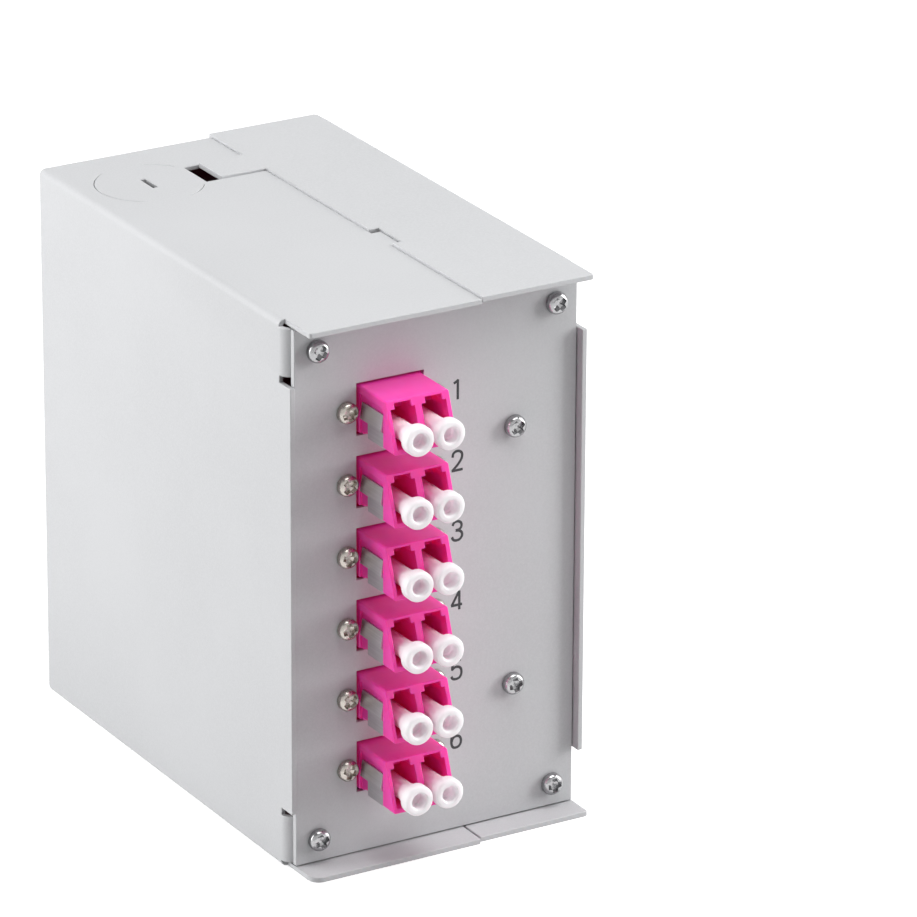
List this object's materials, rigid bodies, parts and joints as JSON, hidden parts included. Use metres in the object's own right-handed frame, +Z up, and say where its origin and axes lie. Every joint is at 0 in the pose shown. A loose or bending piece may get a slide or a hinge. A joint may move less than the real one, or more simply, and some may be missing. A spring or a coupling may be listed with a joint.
{
  "type": "din rail fibre box",
  "caption": "Upright sheet-metal fibre splice box with a column of duplex LC adapters, dust caps, cable knock-outs and a rail clip with a wire spring on its back.",
  "frame": {"origin": "middle of the base, on the floor, half way between the side walls and between the panel's face and the back", "axes": "+Z up, -Y out of the adapter panel, +Y out of the rail side, +X to the right seen from the adapter side"},
  "size_m": [0.06, 0.1188, 0.1054],
  "materials": {
    "grey_powder_coat": "fine light grey powder coat, satin",
    "zinc_steel": "bright zinc plate",
    "nickel_steel": "warm nickel plate",
    "violet_plastic": "glossy moulded heather violet",
    "clip_steel": "plain rolled spring steel",
    "cap_plastic": "translucent white, satin",
    "satin_aluminium": "bright extruded, drawn along its length",
    "spring_wire": "drawn spring wire",
    "sleeve_ceramic": "polished white ceramic",
    "tray_plastic": "moulded light grey",
    "lid_plastic": "smoky clear",
    "holder_plastic": "black moulded"
  },
  "bodies": {
    "box": {"adapter_clip_1": "clip_steel", "adapter_clip_2": "clip_steel", "adapter_clip_3": "clip_steel", "adapter_clip_4": "clip_steel", "adapter_clip_5": "clip_steel", "adapter_clip_6": "clip_steel", "adapter_nuts": "nickel_steel", "adapter_screws": "nickel_steel", "alignment_sleeves": "sleeve_ceramic", "cover_shell": "grey_powder_coat", "front_panel": "grey_powder_coat", "front_panel_screws": "zinc_steel", "housing_shell": "grey_powder_coat", "lc_adapter_1": "violet_plastic", "lc_adapter_2": "violet_plastic", "lc_adapter_3": "violet_plastic", "lc_adapter_4": "violet_plastic", "lc_adapter_5": "violet_plastic", "lc_adapter_6": "violet_plastic", "rail_clip": "satin_aluminium", "rail_clip_nuts": "zinc_steel", "rail_clip_screws": "nickel_steel", "rail_spring": "spring_wire", "rear_cover_screws": "zinc_steel", "sleeve_holders": "violet_plastic", "splice_holder": "holder_plastic", "splice_tray": "tray_plastic", "splice_tray_lid": "lid_plastic", "tray_bracket": "zinc_steel", "tray_bracket_screws": "zinc_steel", "tray_nuts": "zinc_steel", "tray_screws": "zinc_steel"},
    "dust_cap_1a_body": {"dust_cap_1a": "cap_plastic"},
    "dust_cap_1b_body": {"dust_cap_1b": "cap_plastic"},
    "dust_cap_2a_body": {"dust_cap_2a": "cap_plastic"},
    "dust_cap_2b_body": {"dust_cap_2b": "cap_plastic"},
    "dust_cap_3a_body": {"dust_cap_3a": "cap_plastic"},
    "dust_cap_3b_body": {"dust_cap_3b": "cap_plastic"},
    "dust_cap_4a_body": {"dust_cap_4a": "cap_plastic"},
    "dust_cap_4b_body": {"dust_cap_4b": "cap_plastic"},
    "dust_cap_5a_body": {"dust_cap_5a": "cap_plastic"},
    "dust_cap_5b_body": {"dust_cap_5b": "cap_plastic"},
    "dust_cap_6a_body": {"dust_cap_6a": "cap_plastic"},
    "dust_cap_6b_body": {"dust_cap_6b": "cap_plastic"}
  },
  "joints": [
    {"name": "dust_cap_1a_pull", "type": "slide", "parent": "box", "child": "dust_cap_1a_body", "axis": [0, -1, 0], "range_m": [0, 0.016]},
    {"name": "dust_cap_1b_pull", "type": "slide", "parent": "box", "child": "dust_cap_1b_body", "axis": [0, -1, 0], "range_m": [0, 0.016]},
    {"name": "dust_cap_2a_pull", "type": "slide", "parent": "box", "child": "dust_cap_2a_body", "axis": [0, -1, 0], "range_m": [0, 0.016]},
    {"name": "dust_cap_2b_pull", "type": "slide", "parent": "box", "child": "dust_cap_2b_body", "axis": [0, -1, 0], "range_m": [0, 0.016]},
    {"name": "dust_cap_3a_pull", "type": "slide", "parent": "box", "child": "dust_cap_3a_body", "axis": [0, -1, 0], "range_m": [0, 0.016]},
    {"name": "dust_cap_3b_pull", "type": "slide", "parent": "box", "child": "dust_cap_3b_body", "axis": [0, -1, 0], "range_m": [0, 0.016]},
    {"name": "dust_cap_4a_pull", "type": "slide", "parent": "box", "child": "dust_cap_4a_body", "axis": [0, -1, 0], "range_m": [0, 0.016]},
    {"name": "dust_cap_4b_pull", "type": "slide", "parent": "box", "child": "dust_cap_4b_body", "axis": [0, -1, 0], "range_m": [0, 0.016]},
    {"name": "dust_cap_5a_pull", "type": "slide", "parent": "box", "child": "dust_cap_5a_body", "axis": [0, -1, 0], "range_m": [0, 0.016]},
    {"name": "dust_cap_5b_pull", "type": "slide", "parent": "box", "child": "dust_cap_5b_body", "axis": [0, -1, 0], "range_m": [0, 0.016]},
    {"name": "dust_cap_6a_pull", "type": "slide", "parent": "box", "child": "dust_cap_6a_body", "axis": [0, -1, 0], "range_m": [0, 0.016]},
    {"name": "dust_cap_6b_pull", "type": "slide", "parent": "box", "child": "dust_cap_6b_body", "axis": [0, -1, 0], "range_m": [0, 0.016]}
  ]
}
